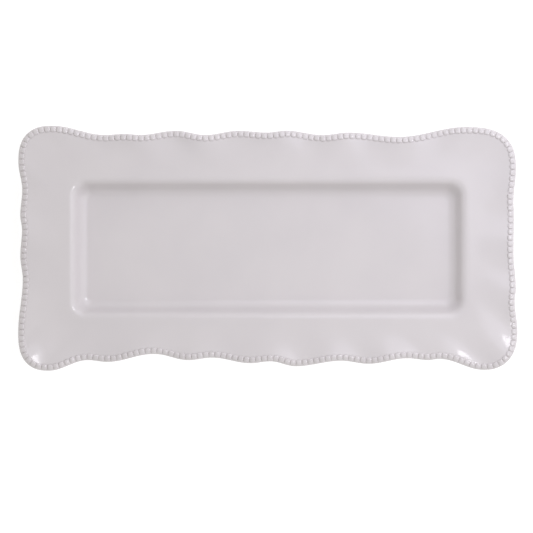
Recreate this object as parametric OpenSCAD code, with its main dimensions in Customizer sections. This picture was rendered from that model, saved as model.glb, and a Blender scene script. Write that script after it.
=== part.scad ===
// Rectangular serving platter in glazed china: a deep level well, a wide rim with a scalloped and
// gently rippled edge, and a row of beads along that edge.
// The piece is one moulding. Its nodes are the regions a potter names: foot, floor, wall, rim,
// lip and the four runs of beads. They meet face to face.
// Frame: millimetres, +X along the length, +Y to the back, +Z up. The origin is at the middle of
// the footprint, on the surface that the foot stands on.

/* [Outline] */
// Overall length, over the corner lobes
platter_l = 406; // [390:1:430]
// Overall width, over the corner lobes
platter_w = 199; // [190:1:215]
// Depth of the scallops, as a share of the drawn ones
scallop_share = 1; // [0:0.1:1.2]
// Height of the ripples along the edge, as a share of the drawn ones
ripple_share = 1; // [0:0.1:1.5]

/* [Well] */
// Length of the well, over its top edge
well_l = 325; // [305:1:328]
// Width of the well, over its top edge
well_w = 115.5; // [100:0.5:118]
// Depth of the well, from the rim to the floor
well_depth = 12.5; // [11:0.5:18]
// Corner radius of the well at its top edge
well_corner_r = 14; // [12:0.5:18]
// Slope of the wall, in degrees from level
wall_slope = 60; // [55:1:68]
// Radius between the floor and the wall
floor_fillet_r = 9; // [6:0.5:10]
// Radius between the wall and the rim
edge_fillet_r = 7; // [3:0.5:8]

/* [Thickness] */
// Thickness of the floor and the wall
floor_t = 4.5; // [4:0.5:6]
// Thickness of the rim
rim_t = 4; // [3.5:0.5:5]
// Height that the rim gains from the well to the lip
rim_rise = 1.5; // [1:0.5:4]

/* [Foot] */
// Height of the foot ring
foot_h = 3; // [2:0.5:4]
// Width of the foot ring's face
foot_w = 6; // [4:0.5:8]
// Distance of the foot ring inside the edge of the floor
foot_inset = 1.5; // [1:0.5:4]

/* [Beaded lip] */
// Width of the lip, from the outline to the rim
lip_w = 6; // [5.5:0.5:8]
// Diameter of one bead
bead_d = 4.4; // [3:0.1:4.5]
// Height of one bead
bead_h = 1.3; // [0.8:0.1:2]
// Distance of the beads' middles inside the outline
bead_inset = 2.8; // [2.6:0.1:3.2]
// Distance between beads along the lip, before it is evened out over each run
bead_pitch = 4.8; // [4.6:0.1:6]

/* [Hidden] */
$fn = 32;

glaze = [0.93, 0.91, 0.90];
bare_clay = [0.86, 0.82, 0.76];

// The sides are numbered 0 front, 1 right, 2 back, 3 left, and corner k ends side k.
SIDES = [0:3];
FRONT = 0;
RIGHT = 1;
BACK = 2;
LEFT = 3;

// Length and width that the scallops and ripples are drawn for
drawn_l = 406;
drawn_w = 199;

// Crests and troughs of the outline on each side, seen from outside, from left to right:
// [distance along the side, distance inside the overall size]
scallops = [
    [[-178, 0], [-146.5, 8.5], [-131, 7], [-93, 13.5], [-64.5, 8.5], [-46, 10.5], [-14.5, 6],
     [2, 7.5], [22.5, 3.5], [59.5, 8], [81.5, 5.5], [113, 10], [130.5, 8.5], [139, 9.5], [175.5, 0.5]],
    [[-67, 0], [-43, 2.5], [-32.5, 1.5], [-2, 3.5], [27, 3], [38, 3.5], [64, 1.5]],
    [[-160.5, 1], [-106.5, 9], [-66, 5.5], [-45, 7.5], [-15, 4], [1, 5.5], [24, 4], [51, 7.5],
     [75, 4], [104, 7.5], [117, 6.5], [132, 7.5], [175.5, 0]],
    [[-70.5, 0], [-47, 3], [-27, 1.5], [-15, 3], [6.5, 1.5], [25.5, 3.5], [68.5, 0]]
];

// Fullness of the four corners: 2 is an ellipse, and more is squarer
corner_fullness = [2.3, 2.7, 2.5, 2.5];

// Crests and troughs of the lip's height on each side, in the same order:
// [distance along the side, height above the even lip]
ripples = [
    [[-178, 4], [-140, -0.7], [-105, 1], [-80, -0.9], [-59, 0.9], [-34, -0.9], [6, 1],
     [31, -0.9], [52, 0.9], [77, -0.9], [99, 1], [124, -1.1], [151, -0.3], [175.5, -2.8]],
    [[-67, -3.1], [-38, 0.7], [-18, -0.7], [3, 0.8], [23, -0.8], [48, 0.6], [64, 0.5]],
    [[-160.5, 1.2], [-134, -0.7], [-109, 0.8], [-82, -1.1], [-57, 1.2], [-33, -1.2], [-7, 1.2],
     [31, -1], [57, 1], [80, -1.1], [106, 1.1], [140, -1], [175.5, 0.8]],
    [[-70.5, 0.8], [-46, -0.9], [-13, 0.9], [12, -0.9], [68.5, 2.3]]
];

// How far the middle of each corner stands above an even blend of the ripples on either side
corner_lifts = [2.5, 0.4, 0.4, 3];

// The lip's section, from its inner top edge round to its inner bottom edge:
// [share of the width, share of the rim's thickness below the top]
lip_section = [[1, 0], [0.13, 0], [0.04, 0.09], [0, 0.28], [0.04, 0.5], [0.2, 0.7], [1, 1]];

// Heights of the main surfaces
floor_z = foot_h + floor_t;
rim_z = floor_z + well_depth;
lip_z = rim_z + rim_rise;

// Plan width of the wall, from the well's top edge to the floor, and of the strip of rim that
// belongs to the wall
wall_straight = (well_depth - (floor_fillet_r + edge_fillet_r) * (1 - cos(wall_slope))) / tan(wall_slope);
wall_run = (floor_fillet_r + edge_fillet_r) * sin(wall_slope) + wall_straight;
wall_outset = 3;

// How much the well's corner radius falls for each millimetre inwards, and where it stops
corner_taper = 0.6;
least_corner_r = 1.5;

// Steps along each side for the rim and for the wall, along each corner, across the rim and along
// each fillet
rim_side_steps = [64, 32, 64, 32];
wall_side_steps = [1, 1, 1, 1];
corner_steps = 12;
rim_steps = 5;
fillet_steps = 4;

// The value a share t of the way from a to b
function mix(a, b, t) = a + (b - a) * t;

// A share that starts and ends level
function ease(t) = (1 - cos(180 * t)) / 2;

// The height of an eased curve through crests and troughs at a distance along it
function wave(knots, at) =
    let (k = max([for (i = [0:len(knots) - 2]) if (i == 0 || knots[i][0] <= at) i]))
    let (a = knots[k], b = knots[k + 1])
    mix(a[1], b[1], ease((at - a[0]) / (b[0] - a[0])));

// The drawn distance along a wavy side at a share t of it
function along(knots, t) = mix(knots[0][0], knots[len(knots) - 1][0], t);

// A plan point turned by k quarter turns
function turned(p, k) = k == 0 ? p : turned([-p.y, p.x], k - 1);

// Places around the platter, anticlockwise from the start of the front: [kind, side, share]
function stations(side_steps) = [
    for (k = SIDES) each concat(
        [for (i = [0:side_steps[k] - 1]) ["side", k, i / side_steps[k]]],
        [for (i = [0:corner_steps - 1]) ["corner", k, i / corner_steps]])
];

// A rounded rectangle's point at a station
function box_point(s, l, w, r) =
    let (ends = [for (c = [s[1] + 3, s[1]]) turned([1, -1], c % 4)])
    let (core = s[0] == "side" ? mix(ends[0], ends[1], s[2]) : ends[1])
    let (facing = 90 * (s[1] - 1 + (s[0] == "side" ? 0 : s[2])))
    [core.x * (l / 2 - r) + r * cos(facing), core.y * (w / 2 - r) + r * sin(facing)];

// The well's rounded rectangle, drawn in from its top edge
function well_ring(places, inset) =
    let (r = max(well_corner_r - corner_taper * inset, least_corner_r))
    [for (s = places) box_point(s, well_l - 2 * inset, well_w - 2 * inset, r)];

// The outline on side k at a share t of it
function side_point(k, t) =
    let (u = along(scallops[k], t), lengthways = k % 2 == 0)
    let (stretch = lengthways ? platter_l / drawn_l : platter_w / drawn_w)
    let (half = lengthways ? platter_w / 2 : platter_l / 2)
    turned([u * stretch, scallop_share * wave(scallops[k], u) - half], k);

// The outline on corner k at a share t of it: a quarter of a superellipse
function corner_point(k, t) =
    let (a = side_point(k, 1), b = side_point((k + 1) % 4, 0))
    let (forward = turned([1, 0], k), outward = turned([0, -1], k))
    let (reach = (b - a) * forward, drop = (a - b) * outward, power = 2 / corner_fullness[k])
    a + reach * pow(sin(90 * t), power) * forward + drop * (pow(cos(90 * t), power) - 1) * outward;

function outline_point(s) = s[0] == "side" ? side_point(s[1], s[2]) : corner_point(s[1], s[2]);

// The lip's height at a station
function ripple_at(k, t) = ripple_share * wave(ripples[k], along(ripples[k], t));
function edge_z(s) = lip_z + (s[0] == "side"
    ? ripple_at(s[1], s[2])
    : mix(ripple_at(s[1], 1), ripple_at((s[1] + 1) % 4, 0), ease(s[2]))
        + ripple_share * corner_lifts[s[1]] * pow(sin(180 * s[2]), 2));

// A closed plan ring drawn in square to itself
function drawn_in(ring, inset) = [
    for (i = [0:len(ring) - 1])
        let (n = len(ring), chord = ring[(i + 1) % n] - ring[(i + n - 1) % n])
        ring[i] + inset / norm(chord) * [-chord.y, chord.x]
];

// A plan ring lifted to one height, or to a height for each of its points
function lifted(ring, z) = [
    for (i = [0:len(ring) - 1]) [ring[i].x, ring[i].y, is_list(z) ? z[i] : z]
];

// A closed band that runs around the platter. Its rings go round the section: outwards along the
// top, then inwards along the underside.
module band(rings) {
    n = len(rings[0]);
    m = len(rings);
    faces = [
        for (j = [0:m - 1], i = [0:n - 1])
            let (j2 = (j + 1) % m, i2 = (i + 1) % n)
            [j * n + i, j * n + i2, j2 * n + i2, j2 * n + i]
    ];
    polyhedron(points = [for (ring = rings) each ring], faces = faces, convexity = 10);
}

rim_places = stations(rim_side_steps);
wall_places = stations(wall_side_steps);
outline = [for (s = rim_places) outline_point(s)];
lip_inner = drawn_in(outline, lip_w);
lip_heights = [for (s = rim_places) edge_z(s)];

// Foot: a plain ring under the floor, with an unglazed face that the platter stands on
module foot_ring() {
    color(bare_clay) linear_extrude(foot_h) difference() {
        polygon(well_ring(wall_places, wall_run + foot_inset));
        polygon(well_ring(wall_places, wall_run + foot_inset + foot_w));
    }
}

// Floor: a level slab inside the fillet at the foot of the wall
module well_floor() {
    color(glaze) translate([0, 0, foot_h]) linear_extrude(floor_t)
        polygon(well_ring(wall_places, wall_run));
}

// Wall: the floor's fillet, a steep straight stretch and the rounded edge below the rim
module well_wall() {
    angles = [for (i = [0:fillet_steps]) wall_slope * i / fillet_steps];
    inner = [for (a = angles) [wall_run - floor_fillet_r * sin(a), floor_z + floor_fillet_r * (1 - cos(a))]];
    upper = [for (a = angles) [edge_fillet_r * sin(a), rim_z - edge_fillet_r * (1 - cos(a))]];
    outer_r = floor_fillet_r + floor_t;
    outer = [for (a = angles) [wall_run - outer_r * sin(a), foot_h + outer_r * (1 - cos(a))]];
    last = outer[fillet_steps];
    under_z = rim_z - rim_t;
    knee = last[0] - (under_z - last[1]) / tan(wall_slope);
    section = concat(
        inner,
        [for (i = [fillet_steps:-1:0]) upper[i]],
        [[-wall_outset, rim_z], [-wall_outset, under_z], [knee, under_z]],
        [for (i = [fillet_steps:-1:0]) outer[i]]);
    color(glaze) band([for (p = section) lifted(well_ring(wall_places, p[0]), p[1])]);
}

// Rim: level where it leaves the wall, then rising to meet the rippled lip
module rim() {
    inner = well_ring(rim_places, -wall_outset);
    shares = [for (i = [0:rim_steps]) i / rim_steps];
    function ring_at(t, drop) = lifted(
        [for (i = [0:len(inner) - 1]) mix(inner[i], lip_inner[i], t)],
        [for (h = lip_heights) mix(rim_z, h, t * t) - drop]);
    color(glaze) band(concat(
        [for (t = shares) ring_at(t, 0)],
        [for (i = [rim_steps:-1:0]) ring_at(shares[i], rim_t)]));
}

// Lip: the thin rounded edge that carries the beads
module lip() {
    color(glaze) band([
        for (p = lip_section)
            lifted(drawn_in(outline, lip_w * p[0]), [for (h = lip_heights) h - rim_t * p[1]])
    ]);
}

// One bead: a low dome, flat below, standing on the origin
module bead() {
    dome_r = (pow(bead_d / 2, 2) + pow(bead_h, 2)) / (2 * bead_h);
    rotate_extrude() intersection() {
        translate([0, bead_h - dome_r]) circle(dome_r);
        square(bead_d);
    }
}

// The run of beads along side k, from the middle of the corner before it to the middle of its own
module bead_run(k) {
    middle = corner_steps / 2;
    before = (k + 3) % 4;
    places = concat(
        [for (i = [middle:corner_steps - 1]) ["corner", before, i / corner_steps]],
        [for (i = [0:rim_side_steps[k] - 1]) ["side", k, i / rim_side_steps[k]]],
        [for (i = [0:middle]) ["corner", k, i / corner_steps]]);
    edge = [for (s = places) outline_point(s)];
    last = len(places) - 1;
    line = [
        for (i = [0:last])
            let (chord = edge[min(i + 1, last)] - edge[max(i - 1, 0)])
            let (p = edge[i] + bead_inset / norm(chord) * [-chord.y, chord.x])
            [p.x, p.y, edge_z(places[i])]
    ];
    run = [for (i = 0, s = 0; i <= last; s = s + (i < last ? norm(line[i + 1] - line[i]) : 0), i = i + 1) s];
    count = round(run[last] / bead_pitch);
    function place(s) = [for (axis = [0:2]) lookup(s, [for (i = [0:last]) [run[i], line[i][axis]]])];
    for (n = [0:count - 1]) {
        s = run[last] * (n + 0.5) / count;
        step = place(s + bead_d / 4) - place(s - bead_d / 4);
        translate(place(s))
            rotate([0, -atan2(step.z, norm([step.x, step.y])), atan2(step.y, step.x)])
                bead();
    }
}

module beads_front() { color(glaze) bead_run(FRONT); }
module beads_right() { color(glaze) bead_run(RIGHT); }
module beads_back() { color(glaze) bead_run(BACK); }
module beads_left() { color(glaze) bead_run(LEFT); }

foot_ring();
well_floor();
well_wall();
rim();
lip();
beads_front();
beads_right();
beads_back();
beads_left();
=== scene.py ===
import math

import bpy
import numpy as np
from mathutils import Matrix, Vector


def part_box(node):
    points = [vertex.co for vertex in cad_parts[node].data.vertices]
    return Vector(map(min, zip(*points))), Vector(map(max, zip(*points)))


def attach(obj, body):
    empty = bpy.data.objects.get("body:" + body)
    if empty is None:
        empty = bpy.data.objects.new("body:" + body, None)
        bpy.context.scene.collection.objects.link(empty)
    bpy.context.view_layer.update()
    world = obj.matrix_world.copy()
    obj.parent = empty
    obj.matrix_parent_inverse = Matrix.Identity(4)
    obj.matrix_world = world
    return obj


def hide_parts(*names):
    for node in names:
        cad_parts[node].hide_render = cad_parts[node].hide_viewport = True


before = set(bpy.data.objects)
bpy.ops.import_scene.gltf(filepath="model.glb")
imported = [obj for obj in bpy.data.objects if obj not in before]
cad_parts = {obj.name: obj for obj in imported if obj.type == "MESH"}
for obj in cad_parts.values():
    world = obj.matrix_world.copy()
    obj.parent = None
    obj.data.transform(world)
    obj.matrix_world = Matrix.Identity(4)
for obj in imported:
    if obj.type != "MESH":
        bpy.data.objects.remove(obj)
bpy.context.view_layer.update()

# A glazed china serving platter, built as smooth closed meshes over the CAD's nodes: foot ring,
# well floor, well wall, rim, lip and four runs of beads. Sizes are in millimetres up to the point
# where a mesh is made. +X runs along the platter, +Y to its back and +Z up.

MM = 0.001

# ---------------------------------------------------------------- sizes that the CAD's boxes give


def box_mm(node):
    """A CAD node's lowest and highest corner, in millimetres."""
    low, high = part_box(node)
    return np.array(low) / MM, np.array(high) / MM


_, lip_high = box_mm("lip")
_, rim_high = box_mm("rim")
_, wall_high = box_mm("well_wall")
_, foot_high = box_mm("foot_ring")
floor_low, floor_high = box_mm("well_floor")

# Half the overall length and width, the lip's width, and the heights of the rim, the floor and the
# floor's underside
HALF_L, HALF_W = lip_high[0], lip_high[1]
LIP_W = HALF_L - rim_high[0]
RIM_Z = wall_high[2]
FLOOR_Z, UNDER_Z = floor_high[2], floor_low[2]
FLOOR_T = FLOOR_Z - UNDER_Z

# ---------------------------------------------------------------- the design, as the CAD has it

# Thickness of the rim, and the height that it gains from the well to the lip
RIM_T = 4.0
RIM_RISE = 1.5

# How far the wall's piece runs out over the rim from the well's top edge
WALL_OUTSET = 3.0
WELL_HALF_L = wall_high[0] - WALL_OUTSET
WELL_HALF_W = wall_high[1] - WALL_OUTSET
# Plan width of the wall, from the well's top edge down to the floor
WALL_RUN = WELL_HALF_W - floor_high[1]
WALL_SLOPE = math.radians(60)
WELL_CORNER_R = 14.0
# How much the well's corner radius falls for each millimetre inwards, and where it stops
CORNER_TAPER = 0.6
LEAST_CORNER_R = 1.5
FLOOR_FILLET_R = 9.0
EDGE_FILLET_R = 7.0
# Radius where the wall's outside turns into the rim's underside
UNDER_FILLET_R = 2.0

# Distance of the foot ring inside the edge of the floor, and its width
FOOT_INSET = floor_high[1] - foot_high[1]
FOOT_W = 6.0

# Sides are numbered 0 front, 1 right, 2 back, 3 left, and corner k ends side k.
SIDES = ("front", "right", "back", "left")

# Crests and troughs of the outline on each side, seen from outside, from left to right:
# (distance along the side, distance inside the overall size)
SCALLOPS = (
    ((-178, 0), (-146.5, 8.5), (-131, 7), (-93, 13.5), (-64.5, 8.5), (-46, 10.5), (-14.5, 6),
     (2, 7.5), (22.5, 3.5), (59.5, 8), (81.5, 5.5), (113, 10), (130.5, 8.5), (139, 9.5), (175.5, 0.5)),
    ((-67, 0), (-43, 2.5), (-32.5, 1.5), (-2, 3.5), (27, 3), (38, 3.5), (64, 1.5)),
    ((-160.5, 1), (-106.5, 9), (-66, 5.5), (-45, 7.5), (-15, 4), (1, 5.5), (24, 4), (51, 7.5),
     (75, 4), (104, 7.5), (117, 6.5), (132, 7.5), (175.5, 0)),
    ((-70.5, 0), (-47, 3), (-27, 1.5), (-15, 3), (6.5, 1.5), (25.5, 3.5), (68.5, 0)),
)

# Fullness of the four corners: 2 is an ellipse, and more is squarer
CORNER_FULLNESS = (2.3, 2.7, 2.5, 2.5)

# Crests and troughs of the lip's height on each side, in the same order:
# (distance along the side, height above the even lip)
RIPPLES = (
    ((-178, 4.0), (-140, -0.7), (-105, 1.0), (-80, -0.9), (-59, 0.9), (-34, -0.9), (6, 1.0),
     (31, -0.9), (52, 0.9), (77, -0.9), (99, 1.0), (124, -1.1), (151, -0.3), (175.5, -2.8)),
    ((-67, -3.1), (-38, 0.7), (-18, -0.7), (3, 0.8), (23, -0.8), (48, 0.6), (64, 0.5)),
    ((-160.5, 1.2), (-134, -0.7), (-109, 0.8), (-82, -1.1), (-57, 1.2), (-33, -1.2), (-7, 1.2),
     (31, -1.0), (57, 1.0), (80, -1.1), (106, 1.1), (140, -1.0), (175.5, 0.8)),
    ((-70.5, 0.8), (-46, -0.9), (-13, 0.9), (12, -0.9), (68.5, 2.3)),
)

# How far the middle of each corner stands above an even blend of the ripples on either side
CORNER_LIFTS = (2.5, 0.4, 0.4, 3.0)

# The lip rolls over from the rim's top to its outer edge, and back to the rim's underside. Its
# nose, the outermost line, lies at this share of the thickness below the top.
LIP_NOSE = 0.58
# Fullness of the roll above and below the nose: 2 is an ellipse, and more is squarer
LIP_TOP_FULLNESS = 2.4
LIP_UNDER_FULLNESS = 2.2

# ---------------------------------------------------------------- mesh density

# Steps along each side and along each corner
SIDE_STEPS = (160, 72, 160, 72)
CORNER_STEPS = 24
HALF_CORNER = CORNER_STEPS // 2
# Points that a corner's curve is measured with, before it is divided evenly
CORNER_CURVE_POINTS = 400
# Steps across each part of the section
FILLET_STEPS = 8
WALL_STEPS = 3
RIM_STEPS = 40
RIM_UNDER_STEPS = 20
LIP_STEPS = 12

# ---------------------------------------------------------------- lines and directions


def unit(vectors):
    """Vectors scaled to a length of one."""
    return vectors / np.linalg.norm(vectors, axis=-1, keepdims=True)


def run_along(points):
    """The distance along a line of points, at each point."""
    steps = np.linalg.norm(np.diff(points, axis=0), axis=1)
    return np.concatenate([[0.0], np.cumsum(steps)])


def resampled(points, run, at):
    """The points at distances along a line."""
    return np.stack([np.interp(at, run, axis) for axis in points.T], axis=1)


def blended_slope(back, ahead):
    """The direction of a curve at its points, from the steps back and ahead to their neighbours."""
    return back / (back ** 2).sum(-1, keepdims=True) + ahead / (ahead ** 2).sum(-1, keepdims=True)


def slope_around(points, axis):
    """The direction of a closed line, or of each line of a grid that is closed along an axis."""
    return blended_slope(points - np.roll(points, 1, axis), np.roll(points, -1, axis) - points)


def turned(points, k):
    """Plan points turned by k quarter turns about the middle."""
    for _ in range(k):
        points = np.stack([-points[:, 1], points[:, 0]], axis=1)
    return points


def lifted(plan, z):
    """Plan points with a height, or a height for each."""
    return np.column_stack([plan, np.broadcast_to(z, len(plan))])


# ---------------------------------------------------------------- what changes around the platter


def ease(share):
    """A share that starts and ends level."""
    return (1 - np.cos(np.pi * share)) / 2


def wave(knots, at):
    """The eased curve through crests and troughs, at distances along it."""
    places, values = np.array(knots, float).T
    k = np.clip(np.searchsorted(places, at, side="right") - 1, 0, len(places) - 2)
    share = (at - places[k]) / (places[k + 1] - places[k])
    return values[k] + (values[k + 1] - values[k]) * ease(share)


def along(knots, shares):
    """Distances along a wavy side at shares of it."""
    return knots[0][0] + (knots[-1][0] - knots[0][0]) * shares


def side_outline(k, shares):
    """The outline on side k."""
    at = along(SCALLOPS[k], shares)
    half = HALF_W if k % 2 == 0 else HALF_L
    return turned(np.stack([at, wave(SCALLOPS[k], at) - half], axis=1), k)


def corner_outline(k, shares):
    """The outline on corner k: a quarter of a superellipse, divided evenly along its length."""
    start = side_outline(k, np.array([1.0]))[0]
    end = side_outline((k + 1) % 4, np.array([0.0]))[0]
    onward, away = turned(np.array([[1.0, 0.0], [0.0, -1.0]]), k)
    reach, drop = (end - start) @ onward, (start - end) @ away
    angle = np.linspace(0, np.pi / 2, CORNER_CURVE_POINTS)
    power = 2 / CORNER_FULLNESS[k]
    gone = np.outer(reach * np.sin(angle) ** power, onward)
    fallen = np.outer(drop * (np.cos(angle).clip(0) ** power - 1), away)
    curve = start + gone + fallen
    run = run_along(curve)
    return resampled(curve, run, shares * run[-1])


def side_ripple(k, shares):
    """The lip's height above the even lip on side k."""
    return wave(RIPPLES[k], along(RIPPLES[k], shares))


def corner_ripple(k, shares):
    """The lip's height on corner k: a blend of the ripples on either side, and the corner's lift."""
    start = side_ripple(k, np.array([1.0]))[0]
    end = side_ripple((k + 1) % 4, np.array([0.0]))[0]
    return start + (end - start) * ease(shares) + CORNER_LIFTS[k] * np.sin(np.pi * shares) ** 2


def corner_sign(k):
    """The sign of x and y at corner k."""
    return turned(np.array([[1.0, -1.0]]), k)[0]


def side_core(k, shares):
    """Signs of x and y from one corner's to the next's. Half sizes make a rectangle of them."""
    start, end = corner_sign((k + 3) % 4), corner_sign(k)
    return start + np.outer(shares, end - start)


def corner_core(k, shares):
    """The same on corner k, where they stay as they are."""
    return np.tile(corner_sign(k), (len(shares), 1))


def side_facing(k, shares):
    """The angle that side k faces."""
    return np.full(len(shares), np.pi / 2 * (k - 1))


def corner_facing(k, shares):
    """The angle faced along corner k, which turns evenly from its side's to the next one's."""
    return np.pi / 2 * (k - 1 + shares)


def around(side_value, corner_value):
    """One array of values around the platter, anticlockwise from the start of the front.

    Both functions take a side's or a corner's number, and shares of the way along it.
    """
    parts = []
    for k in range(4):
        parts.append(side_value(k, np.arange(SIDE_STEPS[k]) / SIDE_STEPS[k]))
        parts.append(corner_value(k, np.arange(CORNER_STEPS) / CORNER_STEPS))
    return np.concatenate(parts)


# The stations around the platter: the outline and the way out from it, the rounded rectangle's
# core and the way out from that, and the height of the lip
outline = around(side_outline, corner_outline)
edge_direction = unit(slope_around(outline, 0))
outward = np.stack([edge_direction[:, 1], -edge_direction[:, 0]], axis=1)
core = around(side_core, corner_core)
facing_angle = around(side_facing, corner_facing)
facing = np.stack([np.cos(facing_angle), np.sin(facing_angle)], axis=1)
edge_z = RIM_Z + RIM_RISE + around(side_ripple, corner_ripple)
STATIONS = len(outline)

# ---------------------------------------------------------------- the surface, ring by ring


def well_ring(inset, z):
    """The well's rounded rectangle, drawn in from its top edge."""
    r = max(WELL_CORNER_R - CORNER_TAPER * inset, LEAST_CORNER_R)
    half = np.array([WELL_HALF_L - inset - r, WELL_HALF_W - inset - r])
    return lifted(core * half + facing * r, z)


def fillet(start, angles, radius, rising):
    """Points (inset, z) of a fillet: one that leaves the level, or one that returns to it."""
    turn = np.sin(angles) * radius
    climb = (1 - np.cos(angles)) * radius
    if rising:
        return np.column_stack([start[0] - turn, start[1] + climb])
    return np.column_stack([start[0] + turn, start[1] - climb])[::-1]


def wall_section(low_z, high_z, low_r, high_r):
    """The wall's curve (inset, z), from the level floor, up the slope, to the level rim."""
    angles = np.linspace(0, WALL_SLOPE, FILLET_STEPS + 1)
    low = fillet((WALL_RUN, low_z), angles, low_r, True)
    rise = high_z - high_r * (1 - math.cos(WALL_SLOPE)) - low[-1][1]
    top_inset = low[-1][0] - rise / math.tan(WALL_SLOPE) - high_r * math.sin(WALL_SLOPE)
    high = fillet((top_inset, high_z), angles, high_r, False)
    shares = np.linspace(0, 1, WALL_STEPS + 1)[1:-1, None]
    straight = low[-1] + (high[0] - low[-1]) * shares
    return np.concatenate([low, straight, high, [[-WALL_OUTSET, high_z]]])


wall_top = [well_ring(*point) for point in wall_section(FLOOR_Z, RIM_Z, FLOOR_FILLET_R, EDGE_FILLET_R)]
wall_under = [
    well_ring(*point)
    for point in wall_section(UNDER_Z, RIM_Z - RIM_T, FLOOR_FILLET_R + FLOOR_T, UNDER_FILLET_R)
]

rim_inner = wall_top[-1][:, :2]
rim_outer = outline - LIP_W * outward
rim_run = np.linalg.norm(rim_outer - rim_inner, axis=1)
# The rim's slope where it meets the lip, at each station
rim_slope = 2 * (edge_z - RIM_Z) / rim_run


def rim_ring(share, drop):
    """The rim at a share of the way from the well to the lip: level at first, then rising."""
    z = RIM_Z + (edge_z - RIM_Z) * share ** 2
    return lifted(rim_inner + (rim_outer - rim_inner) * share, z - drop)


rim_top = [rim_ring(share, 0) for share in np.linspace(0, 1, RIM_STEPS + 1)]
rim_under = [rim_ring(share, RIM_T) for share in np.linspace(0, 1, RIM_UNDER_STEPS + 1)]


def lip_plan(reach):
    """The plan of the lip at a share of its width out from the rim."""
    return rim_outer + outward * LIP_W * reach


def lip_carry(reach):
    """How far the lip has risen there by carrying on the rim's slope, which fades to level."""
    return rim_slope * LIP_W * (reach - reach ** 2 / 2)


def lip_roll(reach, fullness, depth):
    """How far the lip has rolled over there, towards the whole depth of the roll."""
    return depth * (1 - max(1 - reach ** fullness, 0) ** (1 / fullness))


def lip_top_ring(reach):
    """The lip's top at a share of its width."""
    roll = lip_roll(reach, LIP_TOP_FULLNESS, LIP_NOSE * RIM_T)
    return lifted(lip_plan(reach), edge_z + lip_carry(reach) - roll)


def lip_under_ring(reach):
    """The lip's underside at a share of its width."""
    roll = lip_roll(reach, LIP_UNDER_FULLNESS, (1 - LIP_NOSE) * RIM_T)
    return lifted(lip_plan(reach), edge_z + lip_carry(reach) - RIM_T + roll)


reaches = np.sin(np.linspace(0, np.pi / 2, LIP_STEPS + 1))
lip_top = [lip_top_ring(reach) for reach in reaches]
lip_under = [lip_under_ring(reach) for reach in reaches[:-1]]

# One sheet runs from the floor's edge over the top, round the lip and back to the floor's underside.
sheet = np.array(wall_top[:-1] + rim_top[:-1] + lip_top + lip_under[::-1]
                 + rim_under[::-1][1:] + wall_under[::-1][1:])

# The ring of the sheet that each stretch ends at
WALL_END = len(wall_top) - 1
RIM_END = WALL_END + len(rim_top) - 1
LIP_END = RIM_END + len(lip_top) + len(lip_under) - 1
RIM_UNDER_END = LIP_END + len(rim_under) - 1
SHEET_END = len(sheet) - 1


def sheet_normals(rings):
    """The sheet's outward normals, upright at its two ends, where the floor's two faces begin."""
    across = blended_slope(rings[1:-1] - rings[:-2], rings[2:] - rings[1:-1])
    normals = np.zeros_like(rings)
    normals[1:-1] = unit(np.cross(across, slope_around(rings, 1)[1:-1]))
    normals[0] = (0, 0, 1)
    normals[-1] = (0, 0, -1)
    return normals


normals = sheet_normals(sheet)

# ---------------------------------------------------------------- meshes


def piece(node, vertices, faces, materials, face_materials=None, corner_normals=None):
    """A smooth mesh object that stands for a CAD node and rides on the platter's one body.

    The faces take the first material, unless a list says which one each takes. The normals, if
    there are any, are those of every face's corners in turn.
    """
    name = f"{node}_glazed"
    mesh = bpy.data.meshes.new(name)
    mesh.from_pydata((vertices * MM).tolist(), [], faces)
    for material in materials:
        mesh.materials.append(material)
    mesh.polygons.foreach_set("use_smooth", np.ones(len(faces), bool))
    if face_materials is not None:
        mesh.polygons.foreach_set("material_index", np.asarray(face_materials, np.int32))
    if corner_normals is not None:
        mesh.normals_split_custom_set(corner_normals.tolist())
    mesh.validate(clean_customdata=False)
    obj = bpy.data.objects.new(name, mesh)
    bpy.context.scene.collection.objects.link(obj)
    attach(obj, "root")
    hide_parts(node)


def strip_faces(rings, points):
    """Four-sided faces between each ring and the next, closed both ways."""
    j, i = np.meshgrid(np.arange(rings), np.arange(points), indexing="ij")
    j2, i2 = (j + 1) % rings, (i + 1) % points
    return np.stack([j * points + i, j2 * points + i, j2 * points + i2, j * points + i2], axis=-1)


def flat_normals(points, faces):
    """The normal of each four-sided face, from its diagonals."""
    a, b, c, d = (points[faces[:, k]] for k in range(4))
    return unit(np.cross(c - a, d - b))


def band(node, stretches, material):
    """A closed band around the platter: stretches of the sheet, with flat joins between them."""
    index = np.concatenate([np.arange(start, end + 1) for start, end in stretches])
    points = sheet[index].reshape(-1, 3)
    faces = strip_faces(len(index), STATIONS)
    corner_normals = normals[index].reshape(-1, 3)[faces]
    lengths = [end - start + 1 for start, end in stretches]
    for join in np.cumsum(lengths) - 1:
        corner_normals[join] = flat_normals(points, faces[join])[:, None, :]
    piece(node, points, faces.reshape(-1, 4).tolist(), [material],
          corner_normals=corner_normals.reshape(-1, 3))


def patch(ring):
    """A grid of points that fills a ring: its four edges run between the middles of the corners."""
    ring = np.roll(ring, HALF_CORNER, axis=0)
    nx, ny = SIDE_STEPS[0] + CORNER_STEPS, SIDE_STEPS[1] + CORNER_STEPS
    closed = np.concatenate([ring, ring[:1]])
    front = closed[:nx + 1]
    right = closed[nx:nx + ny + 1]
    back = closed[nx + ny:2 * nx + ny + 1][::-1]
    left = closed[2 * nx + ny:][::-1]
    u = np.linspace(0, 1, nx + 1)[None, :, None]
    v = np.linspace(0, 1, ny + 1)[:, None, None]
    ruled = front * (1 - v) + back * v + left[:, None] * (1 - u) + right[:, None] * u
    corners = (front[0] * (1 - u) + front[-1] * u) * (1 - v) + (back[0] * (1 - u) + back[-1] * u) * v
    return ruled - corners


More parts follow.
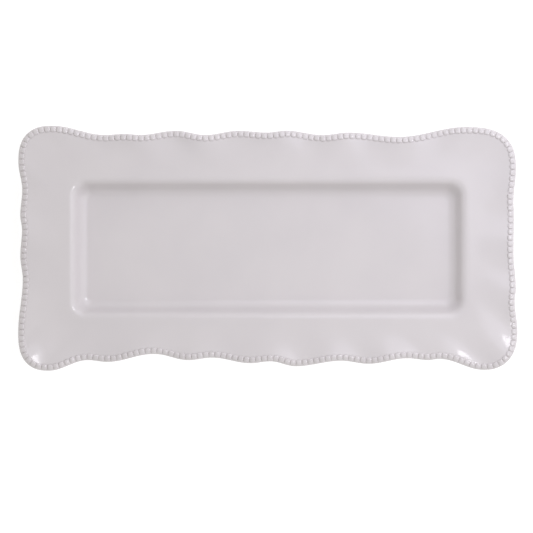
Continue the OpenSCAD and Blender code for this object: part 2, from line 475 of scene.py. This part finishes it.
def floor_piece(material):
    """The floor: a level slab whose edge meets the wall's piece point for point."""
    top, under = patch(sheet[0]), patch(sheet[-1])
    rows, columns = top.shape[:2]
    count = rows * columns
    index = np.arange(count).reshape(rows, columns)
    grid = np.stack([index[:-1, :-1], index[:-1, 1:], index[1:, 1:], index[1:, :-1]], axis=-1)
    grid = grid.reshape(-1, 4)
    edge = np.concatenate([index[0, :-1], index[:-1, -1], index[-1, :0:-1], index[:0:-1, 0]])
    ahead = np.roll(edge, -1)
    side = np.stack([edge, edge + count, ahead + count, ahead], axis=-1)
    faces = np.concatenate([grid, grid[:, ::-1] + count, side])
    points = np.concatenate([top.reshape(-1, 3), under.reshape(-1, 3)])
    piece("well_floor", points, faces.tolist(), [material],
          corner_normals=np.repeat(flat_normals(points, faces), 4, axis=0))


# Either side of the foot ring's section, softened from its top edge down to its face:
# (share of the ring's width in from that side, share of its height down)
FOOT_FLANK = (
    (0.0, 0.0), (0.05, 0.12), (0.1, 0.35), (0.13, 0.7), (0.17, 0.88), (0.25, 0.97), (0.33, 1.0),
)


def foot_piece(glaze_material, bare_material):
    """The foot: a low ring with softened sides and a flat, unglazed face."""
    inner_side = list(FOOT_FLANK)
    outer_side = [(1 - share, down) for share, down in reversed(FOOT_FLANK)]
    rings = np.array([
        well_ring(WALL_RUN + FOOT_INSET + FOOT_W * (1 - out), UNDER_Z * (1 - down))
        for out, down in inner_side + outer_side
    ])
    faces = strip_faces(*rings.shape[:2])[:, :, ::-1]
    # The face is the strip past the inner side's last ring. The wiped band takes in its two edges.
    face_strip = len(inner_side) - 1
    bare = np.zeros(faces.shape[:2])
    bare[face_strip - 1:face_strip + 2] = 1
    piece("foot_ring", rings.reshape(-1, 3), faces.reshape(-1, 4).tolist(),
          [glaze_material, bare_material], face_materials=bare.reshape(-1))


# ---------------------------------------------------------------- beads

BEAD_PITCH = 4.8
# The lip's direction at a bead is taken between points this far on either side of it.
DIRECTION_STEP = 1.0
# Distance of the beads' middles inside the outline
BEAD_INSET = 2.8
BEAD_HALF_W = 2.3
BEAD_HEIGHT = 0.95
# How far a bead's base lies under the lip's surface, and how much wider it is than the bead
BEAD_SINK = 0.5
BEAD_FLARE = 1.05
# How far the beads lean outwards
BEAD_LEAN = math.radians(12)
# Fullness of a bead's plan and of its dome: 2 is an ellipse, and more is squarer
BEAD_SQUARENESS = 3.0
BEAD_DOME = 2.3
# Points round a bead, rings up its dome, and the share of the climb at which the first ring lies
BEAD_POINTS = 24
DOME_RINGS = 7
FIRST_CLIMB = 0.12
# How much the beads vary: in length, width and height as shares of each, and in place as a share
# of the pitch
BEAD_SIZE_VARIATION = (0.015, 0.03, 0.06)
BEAD_PLACE_VARIATION = 0.015
BEAD_SEED = 7


def signed_power(values, power):
    """Values raised to a power, each with its sign kept."""
    return np.sign(values) * np.abs(values) ** power


def bead_vertices():
    """One bead's points: rings from its sunken base to below its crown, and then the crown."""
    angle = np.linspace(0, 2 * np.pi, BEAD_POINTS, endpoint=False)
    power = 2 / BEAD_SQUARENESS
    corners = [signed_power(np.cos(angle), power), signed_power(np.sin(angle), power)]
    plan = BEAD_HALF_W * np.stack(corners, axis=1)
    climb = np.linspace(FIRST_CLIMB, 1, DOME_RINGS, endpoint=False) * np.pi / 2
    shares = [BEAD_FLARE, BEAD_FLARE, *(np.cos(climb) ** (2 / BEAD_DOME))]
    heights = [-BEAD_SINK, 0, *(BEAD_HEIGHT * np.sin(climb) ** (2 / BEAD_DOME))]
    rings = [lifted(plan * share, height) for share, height in zip(shares, heights)]
    return np.concatenate([*rings, [[0.0, 0.0, BEAD_HEIGHT]]])


def bead_faces(bead):
    """One bead's faces: the strips up to its last ring, its base, and the fan round its crown."""
    n, crown = BEAD_POINTS, len(bead) - 1
    strips = strip_faces(crown // n, n)[:-1, :, ::-1].reshape(-1, 4).tolist()
    base = [list(range(n))[::-1]]
    fan = [[crown - n + i, crown - n + (i + 1) % n, crown] for i in range(n)]
    return strips + base + fan


def bead_axes(forward):
    """A bead's axes along the lip, across it and up, leaning outwards from the platter."""
    level = unit(np.cross(forward, (0, 0, 1)))
    leaning = level * math.cos(BEAD_LEAN) - np.array([0, 0, math.sin(BEAD_LEAN)])
    up = unit(np.cross(leaning, forward))
    return np.array([forward, np.cross(forward, up), up])


def bead_run(k, material, chance):
    """The beads along side k, from the middle of the corner before it to the middle of its own."""
    start = sum(SIDE_STEPS[:k]) + k * CORNER_STEPS - HALF_CORNER
    places = np.arange(start, start + SIDE_STEPS[k] + CORNER_STEPS + 1) % STATIONS
    line = lip_top_ring(1 - BEAD_INSET / LIP_W)[places]
    run = run_along(line)
    count = round(run[-1] / BEAD_PITCH)
    bead = bead_vertices()
    faces = bead_faces(bead)
    points, all_faces = [], []
    for n in range(count):
        at = run[-1] * (n + 0.5 + chance.uniform(-1, 1) * BEAD_PLACE_VARIATION) / count
        spots = at + DIRECTION_STEP * np.array([0, -1, 1])
        here, before, after = resampled(line, run, spots)
        size = 1 + chance.uniform(-1, 1, 3) * BEAD_SIZE_VARIATION
        points.append(here + (bead * size) @ bead_axes(unit(after - before)))
        all_faces += [[v + n * len(bead) for v in face] for face in faces]
    piece(f"beads_{SIDES[k]}", np.concatenate(points), all_faces, [material])


# ---------------------------------------------------------------- materials

# Lengths here are in metres, and ranges run from low to high.

# The two ends of the glaze's mottle, and its darker colour in hollows: pooled glaze, and painted shade
# where the hollows are shaded
GLAZE_DULL = (0.673, 0.634, 0.65)
GLAZE_PALE = (0.697, 0.657, 0.67)
GLAZE_POOL_AND_SHADE = (0.64, 0.6, 0.605)
GLAZE_ROUGHNESS = (0.1, 0.17)
GLAZE_IOR = 1.52
# Height of the glaze's broad waves and of its finest grain
GLAZE_WAVE_H = 0.0003
GLAZE_GRAIN_H = 0.000006
# Width of the hollows that get pooled glaze and painted shade, and the openness at which they get all
# of it and at which they get none
POOL_AND_SHADE_WIDTH = 0.004
POOL_AND_SHADE_RANGE = (0.3, 0.9)
POOL_AND_SHADE_SAMPLES = 8

# The wiped face's colour where standing has greyed it, and where it is clean
CLAY_WORN = (0.6, 0.54, 0.46)
CLAY_CLEAN = (0.68, 0.63, 0.56)
CLAY_ROUGHNESS = (0.6, 0.85)
CLAY_GRAIN_H = 0.00005

# The floor of the stage: grey, with a glow of its own
BACKDROP_GREY = (0.4, 0.4, 0.4, 1)
BACKDROP_ROUGHNESS = 0.9
BACKDROP_GLOW = 0.75

WHOLE_RANGE = (0.0, 1.0)
# The range that most of a noise's values lie in
NOISE_RANGE = (0.3, 0.7)


def shader_node(tree, kind, **inputs):
    """A shader node with its inputs set by name, where a space is written as an underscore."""
    made = tree.nodes.new(kind)
    for name, value in inputs.items():
        made.inputs[name.replace("_", " ")].default_value = value
    return made


def new_material(name):
    """A material, with its node tree and its shader."""
    material = bpy.data.materials.new(name)
    material.use_nodes = True
    return material, material.node_tree, material.node_tree.nodes["Principled BSDF"]


def noise(tree, scale, detail):
    """Noise in the object's own space, with this many lumps to the metre."""
    made = shader_node(tree, "ShaderNodeTexNoise", Scale=scale, Detail=detail)
    where = tree.nodes.new("ShaderNodeTexCoord")
    tree.links.new(where.outputs["Object"], made.inputs["Vector"])
    return made.outputs["Fac"]


def ranged(tree, value, old, new):
    """A value taken from its old range to a new one."""
    made = shader_node(tree, "ShaderNodeMapRange", From_Min=old[0], From_Max=old[1],
                       To_Min=new[0], To_Max=new[1])
    tree.links.new(value, made.inputs["Value"])
    return made.outputs["Result"]


def mottle(tree, scale, detail, new):
    """Noise spread over a range."""
    return ranged(tree, noise(tree, scale, detail), NOISE_RANGE, new)


def mixed(tree, share, a, b):
    """A colour between two, each a colour or a socket."""
    made = tree.nodes.new("ShaderNodeMix")
    made.data_type = "RGBA"
    tree.links.new(share, made.inputs["Factor"])
    for name, colour in (("A", a), ("B", b)):
        socket = [s for s in made.inputs if s.name == name and s.type == "RGBA"][0]
        if isinstance(colour, tuple):
            socket.default_value = (*colour, 1)
        else:
            tree.links.new(colour, socket)
    return [s for s in made.outputs if s.type == "RGBA"][0]


def bumped(tree, shader, layers):
    """Bump from layers of (height socket, distance in metres), one on top of the other."""
    below = None
    for height, distance in layers:
        made = shader_node(tree, "ShaderNodeBump", Strength=1.0, Distance=distance)
        tree.links.new(height, made.inputs["Height"])
        if below is not None:
            tree.links.new(below, made.inputs["Normal"])
        below = made.outputs["Normal"]
    tree.links.new(below, shader.inputs["Normal"])


def pool_and_shade_openness(tree):
    """How open the surface is: from 0 in the hollows, where pooled glaze and painted shade go, to 1 on
    the level.
    """
    made = shader_node(tree, "ShaderNodeAmbientOcclusion", Distance=POOL_AND_SHADE_WIDTH)
    made.samples = POOL_AND_SHADE_SAMPLES
    return ranged(tree, made.outputs["AO"], POOL_AND_SHADE_RANGE, WHOLE_RANGE)


def glaze():
    """Glossy off-white glaze: faintly mottled and wavy, and a little darker in hollows, as pooled
    glaze and painted shade.
    """
    material, tree, shader = new_material("glaze")
    body = mixed(tree, mottle(tree, scale=22.0, detail=3.0, new=WHOLE_RANGE), GLAZE_DULL, GLAZE_PALE)
    # Painted shade: the colour darkens in hollows that ambient occlusion finds, standing in both for
    # pooled glaze and for the shade that falls there.
    colour = mixed(tree, pool_and_shade_openness(tree), GLAZE_POOL_AND_SHADE, body)
    roughness = mottle(tree, scale=60.0, detail=3.0, new=GLAZE_ROUGHNESS)
    waves = (noise(tree, scale=28.0, detail=1.0), GLAZE_WAVE_H)
    grain = (noise(tree, scale=380.0, detail=2.0), GLAZE_GRAIN_H)
    tree.links.new(colour, shader.inputs["Base Color"])
    tree.links.new(roughness, shader.inputs["Roughness"])
    shader.inputs["IOR"].default_value = GLAZE_IOR
    bumped(tree, shader, [waves, grain])
    return material


def bare_clay():
    """The unglazed face of the foot: matte, fine-grained, slightly greyed by standing on tables."""
    material, tree, shader = new_material("bare_clay")
    colour = mixed(tree, mottle(tree, scale=90.0, detail=4.0, new=WHOLE_RANGE), CLAY_WORN, CLAY_CLEAN)
    roughness = mottle(tree, scale=700.0, detail=2.0, new=CLAY_ROUGHNESS)
    grain = (noise(tree, scale=1800.0, detail=3.0), CLAY_GRAIN_H)
    tree.links.new(colour, shader.inputs["Base Color"])
    tree.links.new(roughness, shader.inputs["Roughness"])
    bumped(tree, shader, [grain])
    return material


def backdrop():
    """The plain floor that the platter stands on, brought up to white by its glow."""
    material, _, shader = new_material("backdrop")
    shader.inputs["Base Color"].default_value = BACKDROP_GREY
    shader.inputs["Roughness"].default_value = BACKDROP_ROUGHNESS
    shader.inputs["Emission Color"].default_value = (1, 1, 1, 1)
    shader.inputs["Emission Strength"].default_value = BACKDROP_GLOW
    return material


# ---------------------------------------------------------------- the object

glaze_material = glaze()
bare_material = bare_clay()
chance = np.random.default_rng(BEAD_SEED)

floor_piece(glaze_material)
band("well_wall", [(0, WALL_END), (RIM_UNDER_END, SHEET_END)], glaze_material)
band("rim", [(WALL_END, RIM_END), (LIP_END, RIM_UNDER_END)], glaze_material)
band("lip", [(RIM_END, LIP_END)], glaze_material)
foot_piece(glaze_material, bare_material)
for side in range(4):
    bead_run(side, glaze_material, chance)

# ---------------------------------------------------------------- stage, light and camera

# Sizes and places on the stage are in metres.
STAGE_SIZE = 6.0
WORLD_COLOUR = (1, 1, 0.95, 1)
WORLD_STRENGTH = 0.515

WHITE = (1, 1, 1)
COOL = (1, 1, 1.04)
COOLEST = (1, 1, 1.2)

# Softboxes: (name, place, width, brightness of the face, colour). The key box hangs low, past the
# back right corner. The other large, dim ones fill in from each side, and the two small, bright
# lamps make the highlights on the rim.
SOFTBOXES = (
    ("key_box", (0.26, 0.26, 0.5), 0.6, 0.82, COOLEST),
    ("back_box", (0.3, 0.9, 0.9), 0.8, 0.25, COOL),
    ("front_box", (0.5, -0.4, 0.8), 1.0, 0.2, COOL),
    ("low_back_box", (0.1, 1.2, 0.5), 1.2, 0.42, WHITE),
    ("low_front_box", (0.1, -1.2, 0.5), 1.2, 0.12, WHITE),
    ("low_left_box", (-1.3, 0.0, 0.5), 1.2, 0.22, WHITE),
    ("right_box", (1.4, 0.0, 0.6), 1.4, 0.52, WHITE),
    ("back_lamp", (0.8, 0.5, 1.6), 0.36, 7.5, COOL),
    ("front_lamp", (0.8, -0.45, 1.6), 0.36, 7.5, COOL),
)

# The camera looks straight down from this far above the lip. At the lip its view spans the
# platter's length and a margin at either end, and the view's middle lies here.
CAMERA_HEIGHT = 3.0
CAMERA_MARGIN = 0.013
CAMERA_MIDDLE = (-0.0013, -0.0149)
CAMERA_SPAN = 2 * (HALF_L * MM + CAMERA_MARGIN)
SENSOR_WIDTH_MM = 36


def stage_floor():
    """A square of the backdrop under the platter."""
    mesh = bpy.data.meshes.new("backdrop")
    half = STAGE_SIZE / 2
    corners = [(-half, -half, 0), (half, -half, 0), (half, half, 0), (-half, half, 0)]
    mesh.from_pydata(corners, [], [(0, 1, 2, 3)])
    mesh.materials.append(backdrop())
    obj = bpy.data.objects.new("backdrop", mesh)
    bpy.context.scene.collection.objects.link(obj)


def softbox(name, place, size, brightness, colour):
    """A square lamp that faces the middle of the platter, with the brightness of its face."""
    lamp = bpy.data.lights.new(name, "AREA")
    lamp.shape = "SQUARE"
    lamp.size = size
    lamp.energy = math.pi * size ** 2 * brightness
    lamp.color = colour
    obj = bpy.data.objects.new(name, lamp)
    obj.location = place
    obj.rotation_euler = (-obj.location).to_track_quat("-Z", "Y").to_euler()
    obj.visible_camera = False
    bpy.context.scene.collection.objects.link(obj)


def studio_world():
    """Even soft light from all round."""
    world = bpy.data.worlds.new("studio")
    world.use_nodes = True
    background = world.node_tree.nodes["Background"]
    background.inputs["Color"].default_value = WORLD_COLOUR
    background.inputs["Strength"].default_value = WORLD_STRENGTH
    bpy.context.scene.world = world


def overhead_camera():
    """A long lens straight above the platter."""
    data = bpy.data.cameras.new("camera")
    data.sensor_width = SENSOR_WIDTH_MM
    data.lens = SENSOR_WIDTH_MM * CAMERA_HEIGHT / CAMERA_SPAN
    obj = bpy.data.objects.new("camera", data)
    obj.location = (*CAMERA_MIDDLE, lip_high[2] * MM + CAMERA_HEIGHT)
    bpy.context.scene.collection.objects.link(obj)
    bpy.context.scene.camera = obj


stage_floor()
studio_world()
for box in SOFTBOXES:
    softbox(*box)
overhead_camera()
bpy.context.scene.view_settings.view_transform = "Standard"
